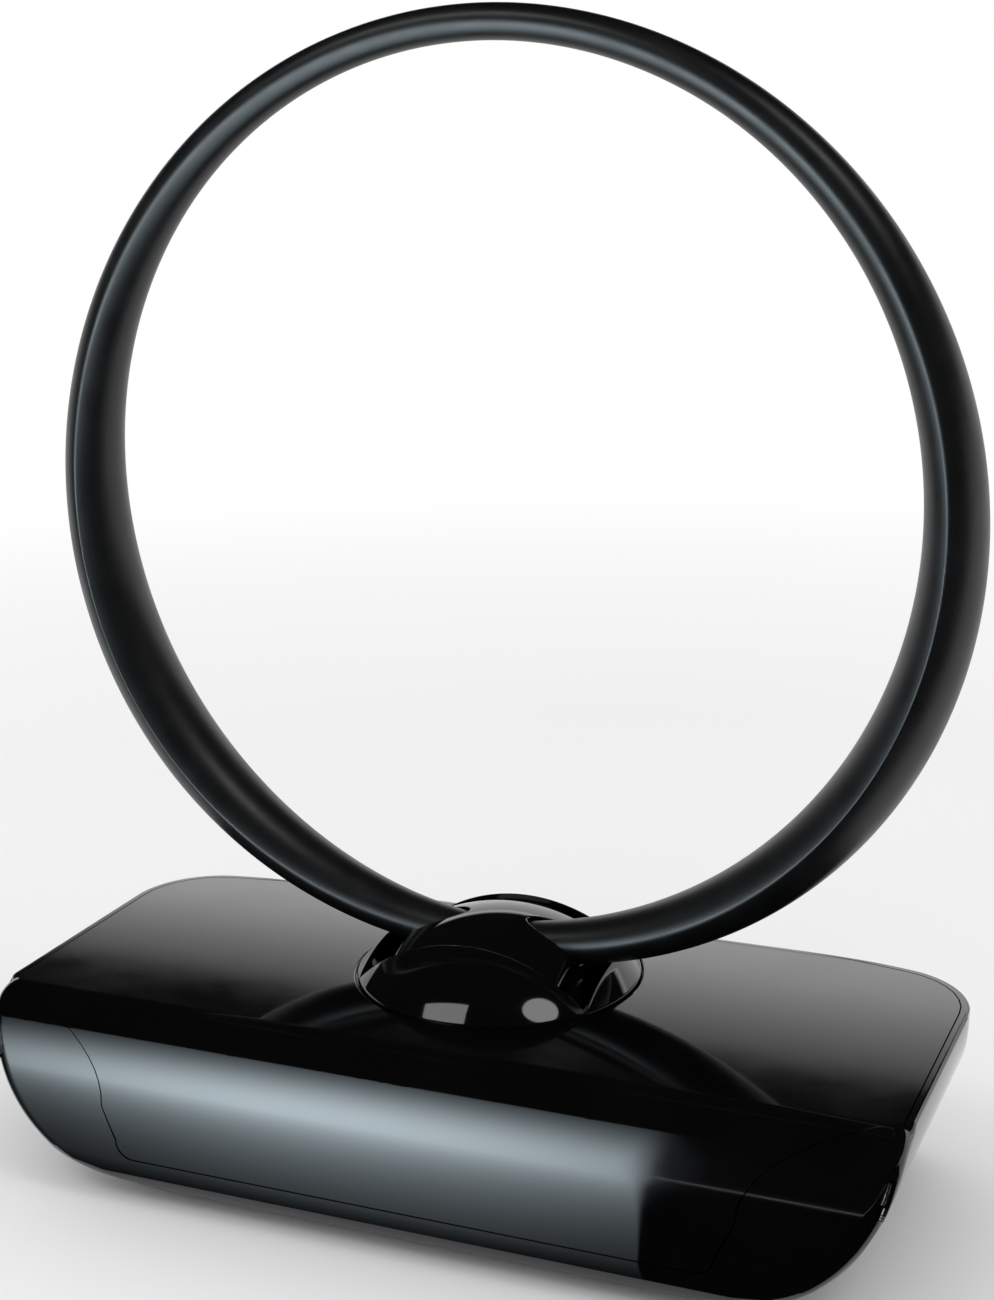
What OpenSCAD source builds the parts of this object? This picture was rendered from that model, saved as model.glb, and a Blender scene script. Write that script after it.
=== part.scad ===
// Indoor loop television aerial: a low moulded base, a domed hub that swivels in
// the base and carries a tilting cap, and an upright loop whose two ends meet in the hub.
// X runs across the base, Y to the back, Z up. The origin is under the middle of the base.

/* [Base] */
// Width of the base
base_w = 200; // [190:1:230]
// Depth of the base, front to back
base_d = 94; // [90:1:110]
// Height of the flat top above the table
base_h = 42; // [41:0.5:48]
// Radius of the big curve from each side to the underside
side_r = 41; // [32:1:41]
// Radius of the roll from the flat top into the front
brow_r = 13; // [8:0.5:16]
// Radius from the front into the underside
chin_r = 9; // [5:0.5:10]
// How far the front leans out below the brow, in degrees
front_lean = 3; // [0:0.5:5]
// Radius from the flat top into the rear wall
rear_brow_r = 8; // [4:0.5:10]
// Radius from the rear wall into the underside
rear_chin_r = 6; // [3:0.5:8]
// Radius of the two rear corners, seen from above
rear_corner_r = 20; // [12:1:26]
// Radius of the bowed rear edge, seen from above
rear_bow_r = 445; // [300:5:900]
// Rounding of the front face's side edges
cheek_r = 4; // [2:0.5:5]
// Wall of the lower shell
shell_t = 3; // [2.6:0.1:3.6]
// Thickness of the top cover
cover_t = 2.2; // [1.8:0.1:2.4]
// Width of the shell's rim that shows round the cover
rim_w = 1.8; // [1.5:0.1:2]
// Gap in the seam between cover and shell
seam_gap = 0.3; // [0.2:0.05:0.5]

/* [Front tongue] */
// Half width of the tongue at its foot
tongue_foot = 66; // [55:1:70]
// Drop of the tongue's foot below the flat top
tongue_drop = 31; // [26:0.5:32]
// Half width of the tongue where the side curves run out straight
tongue_waist = 69.5; // [60:0.5:74]
// Drop of that waist below the flat top
waist_drop = 20; // [14:0.5:22]
// Radius of the foot's corners
tongue_corner_r = 4; // [2:0.5:6]

/* [Hub] */
// Radius of the hub's edge
hub_r = 31; // [29:0.5:32]
// Rise of the dome above the flat top
dome_rise = 15; // [13:0.5:16]
// How far the dome's edge stands above the flat top
rim_proud = 0.3; // [0:0.1:0.6]
// Gap in the round joint line between hub and cover
hub_line = 0.4; // [0.2:0.05:0.6]
// Running clearance of the hub in its collar
collar_fit = 0.07; // [0.02:0.01:0.1]
// Wall of the hub's cup
cup_t = 1.6; // [1.2:0.1:2]
// Thickness of the dome over the cap's skirts
dome_t = 1.1; // [0.9:0.1:1.4]
// Half width of the slot across the dome
slot_half = 16; // [14:0.5:17]
// Running clearance between the cap and the inside of the dome
cap_gap = 0.3; // [0.2:0.05:0.5]
// Half length of the cap, along the slot
cap_half = 19.5; // [18:0.5:20]
// Thickness of the cap
cap_t = 1.3; // [1:0.1:1.5]
// Radius of the two tilt pins
pin_r = 2; // [1.5:0.1:2.5]
// Running clearance of a pin in its bore
pin_fit = 0.04; // [0.02:0.01:0.1]

/* [Loop] */
// Radius of the loop, to the middle of its casing
loop_r = 96; // [90:1:104]
// Half thickness of the casing at the top of the loop
crown_r = 3.6; // [3.2:0.1:4.2]
// Half thickness of the casing where it enters the hub
foot_r = 4.2; // [3.8:0.1:4.4]
// Extra half thickness where the casing is widest
swell_w = 2.8; // [1:0.1:3.5]
// Extra half depth, front to back, where the casing is widest
swell_d = 5.6; // [3:0.2:7]
// Angle of the widest place, from the top
swell_at = 117; // [105:1:125]
// Wall of the loop's casing
casing_t = 1.5; // [1.2:0.1:1.7]
// Radius of the conductor rod
rod_r = 1.25; // [1:0.05:1.5]

/* [Inside] */
// Thickness of the ballast plate
ballast_t = 4; // [3:0.5:4]
// Thickness of the circuit board
board_t = 1.6; // [1:0.1:2]
// Radius of the bore for the cable
cable_bore_r = 2; // [1.5:0.1:2.5]
// Height of the feet under the base
foot_h = 1.5; // [1:0.1:2]

/* [Hidden] */
$fn = 72;

gloss_black = [0.02, 0.02, 0.023];
satin_black = [0.05, 0.05, 0.055];
inner_black = [0.12, 0.12, 0.13];
rubber_black = [0.08, 0.08, 0.08];
steel_grey = [0.6, 0.61, 0.62];
brass_gold = [0.78, 0.62, 0.3];
board_green = [0.1, 0.35, 0.2];
ferrite_grey = [0.22, 0.22, 0.24];

over = 1;
far = 300;

// Base form: the outline from the front, from the side and from above
side_steps = 14;
brow_steps = 10;
edge_steps = 7;
bow_steps = 7;
half_w = base_w / 2;
front_y = -base_d / 2;
rear_y = base_d / 2;
floor_z = foot_h;
brow_z = base_h - brow_r;
chin_z = floor_z + chin_r;
lean_run = (brow_z - chin_z) * tan(front_lean);
brow_y = front_y + (brow_r - chin_r) / cos(front_lean) + chin_r + lean_run;
chin_y = front_y + chin_r;
bow_y = rear_y - rear_bow_r;
corner_x = half_w - rear_corner_r;
corner_y = bow_y + sqrt(pow(rear_bow_r - rear_corner_r, 2) - pow(corner_x, 2));
corner_a = atan2(corner_y - bow_y, corner_x);

// Hub heights
flange_r = hub_r + 2.6;
hub_rear_gap = 3;
hub_y = rear_y - shell_t - flange_r - hub_rear_gap;
dome_h = dome_rise - rim_proud;
dome_r = (pow(hub_r, 2) + pow(dome_h, 2)) / (2 * dome_h);
pivot_z = base_h + dome_rise - dome_r;
dome_in_r = dome_r - dome_t;
cap_r = dome_in_r - cap_gap;
cap_in_r = cap_r - cap_t;
cup_in_r = hub_r - cup_t;
cup_lift = 1.5;
cup_z = floor_z + shell_t + ballast_t + cup_lift;
deck_t = 1.5;
deck_z = base_h - 3;
skirt_r = 25;

// Swivel bearing
collar_in_r = hub_r + collar_fit;
collar_out_r = collar_in_r + 2.4;
flange_t = 1.8;
flange_top = base_h - 14;
collar_z = flange_top + 0.1;
washer_t = 1.2;
ring_t = 2;
ring_top = flange_top - flange_t - washer_t - 0.2;
ring_in_r = hub_r + 0.3;
ring_out_r = hub_r + 4.5;
ring_screw_at = hub_r + 6.4;
ring_boss_r = 3.2;
ring_pilot = 8;
ring_screw_angles = [30, 150, 270];

// Tilt bearing
ear_in_x = 13.5;
ear_out_x = 17.5;
tilt_washer_t = 1.6;
boss_in_x = ear_out_x + tilt_washer_t + 0.2;
pin_boss_r = 4.5;
ear_r = pin_boss_r - 0.3;

// Carrier under the cap
arm_z = base_h + 0.6;
arm_t = 2.6;
arm_half = 4;
arm_reach = 14;
beam_t = 2.4;
beam_half = 7;
saddle_h = 6;
cap_screw_y = 11;
cap_screw_r = 1.1;
cap_screw_h = 8;
cap_head_r = 2.3;
cap_head_h = 1.6;
cap_post_r = 2.8;
cap_pilot = 9.5;
terminal_z = base_h + 4;
terminal_gap = 1;
terminal_reach = 5;
terminal_w = 5.2;
terminal_over = 3;

// Loop
rod_rise = 7.5;
loop_z = base_h + rod_rise + loop_r;
casing_gap_x = 6;
casing_gap_a = asin(casing_gap_x / loop_r);
rod_gap_x = 2;
rod_gap_a = asin(rod_gap_x / loop_r);
crown_d = 3.8;
swell_power = ln(0.5) / ln(swell_at / 180);
entry_r = foot_r + 1.8;
saddle_r = foot_r + 0.95;
saddle_half = 12;
ridge_r = 0.45;
loop_steps = 72;
skin_angles = [0, 16, 32, 46, 58, 68, 76, 90, 104, 112, 122, 134, 148, 164, 180];
bore_angles = [180, 152, 124, 104, 90, 76, 56, 28, 0];

// Screws and posts
case_screw_x = 0.44 * half_w;
case_screw_y = [front_y + 16, rear_y - 17];
case_post_r = 4;
case_pilot = 12;
case_screw_grip = 4;
ring_screw_grip = 7;
screw_r = 1.3;
pilot_r = 1.35;
screw_head_r = 2.8;
screw_head_h = 2;
case_post_z = 20;
ballast_margin = 30;
foot_pad_r = 6;
foot_x = half_w - 44;
foot_y = [front_y + 17, rear_y - 19];
foot_sink = 0.8;

// Board on the left of the hub
board_x = 36 - half_w;
board_y = 4;
board_w = 34;
board_d = 40;
board_z = 14;
board_post_r = 3;
board_pilot_r = 1.05;
board_pilot = 6;
board_screw_at = [[-13, -15], [13, 15]];
board_screw_r = 1;
board_head_h = 1.4;
core_at = [-4, 6];
core_r = 5;
core_bore_r = 2.2;
core_h = 4;
socket_at = [8, -8];
socket = [8, 10, 6];

// Cable outlet in the rear wall
gland_x = -60;
gland_z = 20;
gland_body_r = 4;
gland_flange_r = 6;
gland_flange_t = 1.2;
gland_sink = 1.8;
gland_pad_t = 5;
gland_length = 4.2;

// Points along an arc about a centre
function arc(centre, r, from, to, steps) = [for (i = [0:steps]) let (a = from + (to - from) * i / steps)
    centre + r * [cos(a), sin(a)]];

function mirrored(points) = [for (i = [len(points) - 1:-1:0]) [-points[i][0], points[i][1]]];

// Outline of the base seen from the front, at a distance in from its surface
module front_outline(inset) {
    right = concat(
        arc([half_w - side_r, floor_z + side_r], side_r - inset, -90, 0, side_steps),
        [[half_w - inset, base_h + over]]
    );
    polygon(concat(right, mirrored(right)));
}

// Seen from the side: flat top, rolled brow, leaning front, rounded underside
module side_outline(inset) {
    polygon(concat(
        arc([brow_y, brow_z], brow_r - inset, 90, 180 - front_lean, brow_steps),
        arc([chin_y, chin_z], chin_r - inset, 180 - front_lean, 270, edge_steps),
        arc([rear_y - rear_chin_r, floor_z + rear_chin_r], rear_chin_r - inset, 270, 360, edge_steps),
        arc([rear_y - rear_brow_r, base_h - rear_brow_r], rear_brow_r - inset, 0, 90, edge_steps)
    ));
}

// Seen from above: straight front and sides, round rear corners, bowed rear edge
module plan_outline(inset) {
    right = concat(
        [[half_w - inset, -far]],
        arc([corner_x, corner_y], rear_corner_r - inset, 0, corner_a, edge_steps),
        arc([0, bow_y], rear_bow_r - inset, corner_a + (90 - corner_a) / bow_steps, 90, bow_steps - 1)
    );
    left = mirrored(right);
    polygon(concat(right, [for (i = [1:len(left) - 1]) left[i]]));
}

module from_front() {
    rotate([90, 0, 0]) translate([0, 0, -far / 2]) linear_extrude(far) children();
}

module from_side() {
    rotate([90, 0, 90]) translate([0, 0, -far / 2]) linear_extrude(far) children();
}

// The base's whole form, moved in by a distance
module base_form(inset) {
    intersection() {
        from_front() front_outline(inset);
        from_side() side_outline(inset);
        linear_extrude(far) plan_outline(inset);
    }
}

// The same form with its front edges rounded
module rounded_base() {
    intersection() {
        base_form(0);
        hull() for (k = [0:4]) {
            a = k * 90 / 4;
            depth = k == 4 ? far / 2 : 0.02;
            translate([0, front_y + cheek_r * (1 - cos(90 - a)) + depth, 0])
                rotate([90, 0, 0]) linear_extrude(depth) cheek_slice(cheek_r * (1 - sin(a)));
        }
    }
}

// One slice of the rounded front, as a plain polygon
module cheek_slice(inset) {
    r = side_r - inset;
    cx = half_w - side_r;
    cz = floor_z + side_r;
    polygon(concat(
        [for (a = [0:7.5:90]) [cx + r * cos(a), cz - r * sin(a)]],
        [for (a = [90:7.5:180]) [-cx + r * cos(a), cz - r * sin(a)]],
        [[-half_w + inset, base_h + over], [half_w - inset, base_h + over]]
    ));
}

// Outline of the tongue and the cover's ends, seen from the front
module tongue_outline(shrink) {
    end_x = half_w - rim_w - shrink;
    curve_w = end_x - tongue_waist + shrink;
    waist_z = base_h - waist_drop;
    foot_z = base_h - tongue_drop + shrink;
    r = tongue_corner_r;
    foot = tongue_foot - shrink;
    right = concat(
        [for (a = [90:7.5:180]) [end_x + curve_w * cos(a), waist_z + waist_drop * sin(a)]],
        [for (a = [0:15:90]) [foot - r + r * cos(a), foot_z + r - r * sin(a)]]
    );
    polygon(concat(
        [[end_x, base_h + over]], right,
        [for (i = [len(right) - 1:-1:0]) [-right[i][0], right[i][1]]],
        [[-end_x, base_h + over]]
    ));
}

// The space that the cover takes in the base's form
module cover_space(shrink) {
    translate([0, 0, base_h - cover_t]) linear_extrude(cover_t + over) intersection() {
        plan_outline(rim_w + shrink);
        translate([-far, brow_y - over / 10]) square([2 * far, far]);
    }
    intersection() {
        from_front() tongue_outline(shrink);
        translate([-far, brow_y - far, 0]) cube([2 * far, far, far]);
    }
}

module at_hub() {
    translate([0, hub_y, 0]) children();
}

module case_posts() {
    for (x = [-case_screw_x, case_screw_x], y = case_screw_y) translate([x, y, 0]) children();
}

module ring_posts() {
    at_hub() for (a = ring_screw_angles) rotate(a) translate([ring_screw_at, 0, 0]) children();
}

// Cover with its tongue, the collar that the hub turns in, and the screw bosses below
module top_cover() {
    color(gloss_black) difference() {
        union() {
            difference() {
                intersection() {
                    base_form(0);
                    cover_space(seam_gap);
                }
                base_form(cover_t);
            }
            at_hub() translate([0, 0, collar_z])
                cylinder(r = collar_out_r, h = base_h - cover_t / 2 - collar_z);
            ring_posts() translate([0, 0, ring_top])
                cylinder(r = ring_boss_r, h = base_h - cover_t / 2 - ring_top);
            case_posts() translate([0, 0, case_post_z + 0.1])
                cylinder(r = case_post_r, h = base_h - cover_t / 2 - case_post_z);
        }
        at_hub() translate([0, 0, collar_z - over]) cylinder(r = collar_in_r, h = far, $fn = 144);
        at_hub() translate([0, 0, base_h - cover_t]) cylinder(r = hub_r + hub_line, h = far, $fn = 144);
        at_hub() translate([0, 0, ring_top - over])
            cylinder(r = flange_r + 0.3, h = collar_z - ring_top + over, $fn = 144);
        ring_posts() translate([0, 0, ring_top - over]) cylinder(r = pilot_r, h = ring_pilot + over);
        case_posts() translate([0, 0, case_post_z]) cylinder(r = pilot_r, h = case_pilot);
    }
}

// Lower shell: floor, side and rear walls, the cheeks beside the tongue and the lip under it
module lower_shell() {
    color(gloss_black) difference() {
        rounded_base();
        difference() {
            base_form(shell_t);
            gland_pad();
            board_posts();
            case_posts() cylinder(r = case_post_r, h = case_post_z);
        }
        translate([0, 0, base_h - shell_t - over]) linear_extrude(far) intersection() {
            plan_outline(shell_t);
            translate([-far, brow_y - over]) square([2 * far, far]);
        }
        cover_space(0);
        case_posts() cylinder(r = screw_r + 0.1, h = case_post_z + over);
        case_posts() cylinder(r = screw_head_r + 0.2, h = floor_z + shell_t);
        for (x = [-foot_x, foot_x], y = foot_y) translate([x, y, 0])
            cylinder(r = foot_pad_r + 0.05, h = floor_z + foot_sink);
        board_holes();
        gland_hole();
    }
}

module board_posts() {
    for (p = board_screw_at) translate([board_x + p[0], board_y + p[1], 0])
        cylinder(r = board_post_r, h = board_z);
}

module board_holes() {
    for (p = board_screw_at) translate([board_x + p[0], board_y + p[1], board_z - board_pilot])
        cylinder(r = board_pilot_r, h = board_pilot + over);
}

// Thickened place in the rear wall round the cable outlet
module gland_pad() {
    translate([gland_x, rear_y, gland_z]) rotate([90, 0, 0])
        cylinder(r = gland_flange_r + 2, h = gland_rear_gap() + gland_pad_t);
}

function gland_rear_gap() = rear_bow_r - sqrt(pow(rear_bow_r, 2) - pow(gland_x, 2));

module gland_hole() {
    translate([gland_x, rear_y + over, gland_z]) rotate([90, 0, 0]) {
        cylinder(r = gland_body_r + 0.05, h = far / 10);
        cylinder(r = gland_flange_r + 0.1, h = over + gland_rear_gap() + gland_sink);
    }
}

// Bush that the coax leaves through, flush in the rear wall
module cable_gland() {
    seat = rear_y - gland_rear_gap() - gland_sink;
    color(rubber_black) translate([gland_x, seat, gland_z]) difference() {
        union() {
            rotate([90, 0, 0]) cylinder(r = gland_body_r, h = gland_length);
            rotate([-90, 0, 0]) cylinder(r = gland_flange_r, h = gland_flange_t);
        }
        rotate([90, 0, 0]) translate([0, 0, -gland_flange_t - over])
            cylinder(r = cable_bore_r, h = gland_flange_t + gland_length + 2 * over);
    }
}

// Ring under the cover that traps the hub's flange
module retaining_ring() {
    color(inner_black) difference() {
        union() {
            at_hub() translate([0, 0, ring_top - ring_t]) cylinder(r = ring_out_r, h = ring_t, $fn = 144);
            ring_posts() translate([0, 0, ring_top - ring_t]) cylinder(r = ring_boss_r, h = ring_t);
        }
        at_hub() translate([0, 0, ring_top - ring_t - over])
            cylinder(r = ring_in_r, h = ring_t + 2 * over, $fn = 144);
        ring_posts() translate([0, 0, ring_top - ring_t - over]) cylinder(r = screw_r + 0.1, h = far / 10);
    }
}

module screw(reach) {
    translate([0, 0, -screw_head_h]) cylinder(r = screw_head_r - 0.2, h = screw_head_h);
    cylinder(r = screw_r, h = reach);
}

module retaining_screws() {
    color(steel_grey) ring_posts() translate([0, 0, ring_top - ring_t]) screw(ring_t + ring_screw_grip);
}

module swivel_washer() {
    color(rubber_black) at_hub() translate([0, 0, ring_top]) difference() {
        cylinder(r = flange_r - 0.2, h = washer_t, $fn = 144);
        translate([0, 0, -over]) cylinder(r = ring_in_r, h = washer_t + 2 * over, $fn = 144);
    }
}

module case_screws() {
    color(steel_grey) case_posts() translate([0, 0, floor_z + shell_t]) screw(case_post_z + case_screw_grip);
}

module foot(x, y) {
    color(rubber_black) translate([x, y, 0]) cylinder(r = foot_pad_r, h = foot_h + foot_sink);
}

module foot_front_left() { foot(-foot_x, foot_y[0]); }
module foot_front_right() { foot(foot_x, foot_y[0]); }
module foot_rear_left() { foot(-foot_x, foot_y[1]); }
module foot_rear_right() { foot(foot_x, foot_y[1]); }

// Steel plate on the floor between the screw posts
module ballast_plate() {
    color(steel_grey) translate([0, 0, floor_z + shell_t]) linear_extrude(ballast_t)
        square([2 * (case_screw_x - case_post_r) - 2, base_d - ballast_margin], center = true);
}

module matching_board() {
    color(board_green) translate([board_x, board_y, board_z]) difference() {
        translate([-board_w / 2, -board_d / 2, 0]) cube([board_w, board_d, board_t]);
        for (p = board_screw_at) translate([p[0], p[1], -over])
            cylinder(r = board_screw_r + 0.2, h = board_t + 2 * over);
    }
}

module balun_core() {
    color(ferrite_grey) translate([board_x + core_at[0], board_y + core_at[1], board_z + board_t])
        difference() {
            cylinder(r = core_r, h = core_h);
            translate([0, 0, -over]) cylinder(r = core_bore_r, h = core_h + 2 * over);
        }
}

// Small can on the board that the coax is soldered in
module coax_socket() {
    color(steel_grey) translate([board_x + socket_at[0], board_y + socket_at[1], board_z + board_t + socket[2] / 2])
        cube(socket, center = true);
}

module board_screws() {
    color(steel_grey) for (p = board_screw_at)
        translate([board_x + p[0], board_y + p[1], board_z + board_t]) mirror([0, 0, 1]) {
            cylinder(r = board_screw_r, h = board_pilot);
            translate([0, 0, -board_head_h]) cylinder(r = 2 * board_screw_r, h = board_head_h);
        }
}

// Cup of the hub: bearing wall, flange, slotted dome, slot walls and the pin bosses
module swivel_cup() {
    color(gloss_black) at_hub() difference() {
        union() {
            cup_wall();
            dome_quadrants();
            cup_deck();
            slot_walls();
            pin_bosses();
        }
        for (s = [-1, 1]) translate([s * hub_r, 0, pivot_z]) rotate([0, 90, 0])
            cylinder(r = pin_r + pin_fit, h = 2 * (hub_r - boss_in_x) + 2, center = true);
    }
}

module cup_wall() {
    difference() {
        union() {
            translate([0, 0, cup_z]) cylinder(r = hub_r, h = base_h - 2 - cup_z, $fn = 144);
            translate([0, 0, flange_top - flange_t]) cylinder(r = flange_r, h = flange_t, $fn = 144);
        }
        translate([0, 0, cup_z - over]) cylinder(r = cup_in_r, h = base_h, $fn = 144);
    }
}

module dome_quadrants() {
    difference() {
        intersection() {
            translate([0, 0, pivot_z]) sphere(dome_r, $fn = 144);
            translate([0, 0, base_h - 2]) cylinder(r = hub_r, h = far, $fn = 144);
        }
        translate([0, 0, pivot_z]) sphere(dome_in_r, $fn = 144);
        translate([0, 0, base_h - 2 - over]) cylinder(r = cup_in_r - 0.9, h = over + 2 + rim_proud);
        translate([-far, -slot_half, base_h - 2 - over]) cube([2 * far, 2 * slot_half, far]);
    }
}

module cup_deck() {
    difference() {
        translate([0, 0, deck_z - deck_t]) cylinder(r = cup_in_r + over / 2, h = deck_t, $fn = 144);
        translate([-cap_half - 1.5, -26, deck_z - deck_t - over])
            cube([2 * cap_half + 3, 52, deck_t + 2 * over]);
    }
}

module slot_walls() {
    wall_x = cap_half + 1.2;
    intersection() {
        translate([0, 0, pivot_z]) sphere(dome_r - dome_t / 2);
        translate([0, 0, deck_z - deck_t]) cylinder(r = cup_in_r + over / 2, h = far);
        for (sx = [0, 180], sy = [0, 1]) rotate(sx) mirror([0, sy, 0])
            translate([wall_x, slot_half, deck_z - deck_t]) cube([far, 1.2, far]);
    }
}

module pin_bosses() {
    intersection() {
        translate([0, 0, cup_z]) cylinder(r = hub_r - cup_t / 2, h = base_h, $fn = 144);
        for (s = [-1, 1]) translate([s * (boss_in_x + far / 20), 0, pivot_z]) rotate([0, 90, 0])
            cylinder(r = pin_boss_r, h = far / 10, center = true);
    }
}

module tilt_pin(s) {
    length = hub_r - 1 - ear_in_x;
    color(steel_grey) at_hub() translate([s * (ear_in_x + length / 2), 0, pivot_z]) rotate([0, 90, 0])
        cylinder(r = pin_r, h = length, center = true);
}

module tilt_pin_left() { tilt_pin(-1); }
module tilt_pin_right() { tilt_pin(1); }

module tilt_washer(s) {
    color(rubber_black) at_hub() translate([s * (ear_out_x + 0.1 + tilt_washer_t / 2), 0, pivot_z])
        rotate([0, 90, 0]) difference() {
            cylinder(r = pin_boss_r - 0.3, h = tilt_washer_t, center = true);
            cylinder(r = pin_r + pin_fit, h = tilt_washer_t + over, center = true);
        }
}

module tilt_washer_left() { tilt_washer(-1); }
module tilt_washer_right() { tilt_washer(1); }

// Solid round the loop's middle line, for the saddle and the entry holes
module loop_torus(r) {
    translate([0, 0, loop_z]) rotate([90, 0, 0])
        rotate_extrude($fn = 288) translate([loop_r, 0]) circle(r, $fn = 48);
}

// Middle band of the dome, closed at both ends, with holes for the loop and two screw posts
module tilt_cap() {
    color(gloss_black) at_hub() difference() {
        union() {
            intersection() {
                difference() {
                    translate([0, 0, pivot_z]) sphere(cap_r, $fn = 144);
                    translate([0, 0, pivot_z]) sphere(cap_in_r, $fn = 144);
                }
                cap_limits(cap_half);
            }
            cap_ends();
            cap_posts();
        }
        loop_torus(entry_r);
        cap_screw_places() translate([0, 0, base_h]) cylinder(r = cap_screw_r + 0.05, h = cap_pilot);
    }
}

module cap_screw_places() {
    for (y = [-cap_screw_y, cap_screw_y]) translate([0, y, 0]) children();
}

module cap_limits(half) {
    intersection() {
        translate([0, 0, base_h + 0.5]) cylinder(r = skirt_r, h = far, $fn = 144);
        translate([-half, -far, 0]) cube([2 * half, 2 * far, far]);
    }
}

module cap_ends() {
    intersection() {
        translate([0, 0, pivot_z]) sphere(cap_r - cap_t / 2);
        difference() {
            cap_limits(cap_half);
            cap_limits(cap_half - cap_t);
        }
        translate([-far, -slot_half + 1, 0]) cube([2 * far, 2 * slot_half - 2, far]);
    }
}

module cap_posts() {
    intersection() {
        translate([0, 0, pivot_z]) sphere(cap_r - cap_t / 2);
        cap_screw_places() translate([0, 0, arm_z + arm_t + 0.1]) cylinder(r = cap_post_r, h = far);
    }
}

// Carrier under the cap: saddle for the loop's ends, arms for the cap, ears for the pins
module hub_cradle() {
    color(inner_black) at_hub() difference() {
        union() {
            translate([-ear_out_x, -beam_half, arm_z]) cube([2 * ear_out_x, 2 * beam_half, beam_t]);
            translate([-saddle_half, -beam_half, arm_z]) cube([2 * saddle_half, 2 * beam_half, saddle_h]);
            translate([-arm_half, -arm_reach, arm_z]) cube([2 * arm_half, 2 * arm_reach, arm_t]);
            for (s = [-1, 1]) {
                ear_x = s > 0 ? ear_in_x : -ear_out_x;
                translate([ear_x, -ear_r, pivot_z])
                    cube([ear_out_x - ear_in_x, 2 * ear_r, arm_z + beam_t - pivot_z]);
                translate([ear_x, 0, pivot_z]) rotate([0, 90, 0])
                    cylinder(r = ear_r, h = ear_out_x - ear_in_x);
            }
        }
        loop_torus(saddle_r);
        rotate([0, 90, 0]) translate([-pivot_z, 0, 0])
            cylinder(r = pin_r + pin_fit, h = 2 * far, center = true);
        cap_screw_places() cylinder(r = cap_screw_r + 0.1, h = far);
        translate([-terminal_reach - 0.6, -terminal_w / 2 - 0.6, terminal_z])
            cube([2 * terminal_reach + 1.2, terminal_w + 1.2, far]);
    }
}

module cap_screws() {
    color(steel_grey) at_hub() cap_screw_places() translate([0, 0, arm_z]) {
        cylinder(r = cap_screw_r, h = cap_screw_h);
        translate([0, 0, -cap_head_h]) cylinder(r = cap_head_r, h = cap_head_h);
    }
}

// Section of the casing at an angle from the top of the loop
function swell(a) = pow(sin(180 * pow(min(a, 180) / 180, swell_power)), 1.3);
function stem_r(a) = crown_r + (foot_r - crown_r) * (1 - cos(a)) / 2;
function casing_w(a) = stem_r(a) + swell_w * swell(a);
function casing_d(a) = crown_d + (foot_r - crown_r) * (1 - cos(a)) / 2 + swell_d * swell(a);

// Point of a section whose surface faces the direction t: an oval where the swell is none, and two
// arcs that meet in a softly rounded ridge, front and rear, where it is full
function oval_point(w, d, t) = [w * w * cos(t), d * d * sin(t)] / norm([w * cos(t), d * sin(t)]);
function ridge_point(w, d, t) = let (
    wi = w - ridge_r, di = d - ridge_r, r = (wi * wi + di * di) / (2 * wi),
    arc_point = [sign(cos(t)) * (wi - r) + r * cos(t), r * sin(t)]
) (abs(sin(t)) < di / r ? arc_point : [0, sign(sin(t)) * di]) + ridge_r * [cos(t), sin(t)];
function section_point(a, w, d, t) = let (m = swell(a)) (1 - m) * oval_point(w, d, t) + m * ridge_point(w, d, t);

// Half of a section, front (side = -1) or rear (side = 1), as a closed run of [outward, y]
function half_section(a, side) = let (
    w = casing_w(a), d = casing_d(a),
    wi = w - casing_t, di = d - casing_t * (1 + 0.4 * swell(a))
) concat(
    [for (t = skin_angles) let (p = section_point(a, w, d, t)) [p[0], side * p[1]]],
    [for (t = bore_angles) let (p = section_point(a, wi, di, t)) [p[0], side * p[1]]]
);

// Place of a section point: angle from the top, positive to the right
function on_loop(a, p) = [(loop_r + p[0]) * sin(a), p[1], (loop_r + p[0]) * cos(a)];

module casing_half(side) {
    last = 180 - casing_gap_a;
    rings = [for (i = [0:loop_steps]) let (a = last * (2 * i / loop_steps - 1))
        [for (p = half_section(abs(a), side)) on_loop(a, p)]];
    n = len(rings[0]);
    points = [for (ring = rings) each ring];
    skin = [for (i = [0:loop_steps - 1], j = [0:n - 1]) let (k = (j + 1) % n)
        [i * n + j, i * n + k, (i + 1) * n + k, (i + 1) * n + j]];
    first_end = [for (j = [n - 1:-1:0]) j];
    last_end = [for (j = [0:n - 1]) loop_steps * n + j];
    faces = concat(skin, [first_end, last_end]);
    flipped = [for (f = faces) [for (i = [len(f) - 1:-1:0]) f[i]]];
    color(satin_black) at_hub() translate([0, 0, loop_z])
        polyhedron(points, side > 0 ? faces : flipped, convexity = 8);
}

module loop_front_shell() { casing_half(-1); }
module loop_rear_shell() { casing_half(1); }

// The aerial itself: a bent rod with its two ends in the hub
module loop_conductor() {
    color(steel_grey) at_hub() translate([0, 0, loop_z]) rotate([90, 0, 0])
        rotate(-90 + rod_gap_a) rotate_extrude(angle = 360 - 2 * rod_gap_a, $fn = 288)
            translate([loop_r, 0]) circle(rod_r, $fn = 24);
}

module terminal(s) {
    rod_z = loop_z - loop_r;
    color(brass_gold) at_hub() difference() {
        translate([s > 0 ? terminal_gap : -terminal_reach, -terminal_w / 2, terminal_z])
            cube([terminal_reach - terminal_gap, terminal_w, rod_z + terminal_over - terminal_z]);
        loop_torus(rod_r + 0.05);
    }
}

module terminal_left() { terminal(-1); }
module terminal_right() { terminal(1); }

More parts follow.
